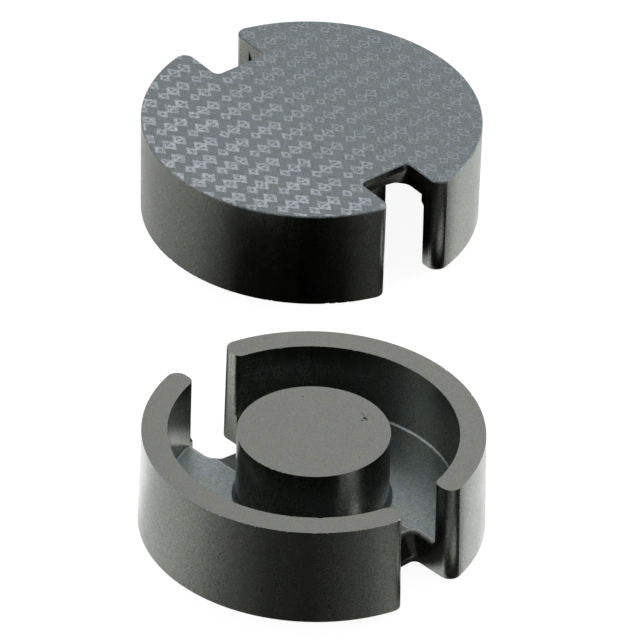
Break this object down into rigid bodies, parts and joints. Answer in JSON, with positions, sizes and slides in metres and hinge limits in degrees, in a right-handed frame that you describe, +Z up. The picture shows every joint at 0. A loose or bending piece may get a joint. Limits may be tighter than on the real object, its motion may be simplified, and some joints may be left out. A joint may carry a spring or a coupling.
{
  "type": "ferrite pot core",
  "caption": "Open ferrite pot core: matching round cup halves with solid centre posts and slotted skirts, front half open side up, rear half standing on its rim.",
  "frame": {"origin": "on the table, midway between the two halves", "axes": "+Z up along the halves' axes, +Y from the front half to the rear half, +X to the right seen from the front"},
  "size_m": [0.0308, 0.0768, 0.0094],
  "materials": {
    "front_ferrite": "dark sintered ferrite: satin pressed skin, matt grey ground pole faces",
    "rear_ferrite": "dark sintered ferrite: satin pressed skin with small pale printed lozenges across the back"
  },
  "bodies": {
    "root": {"front_core_half": "front_ferrite", "rear_core_half": "rear_ferrite"}
  },
  "joints": []
}
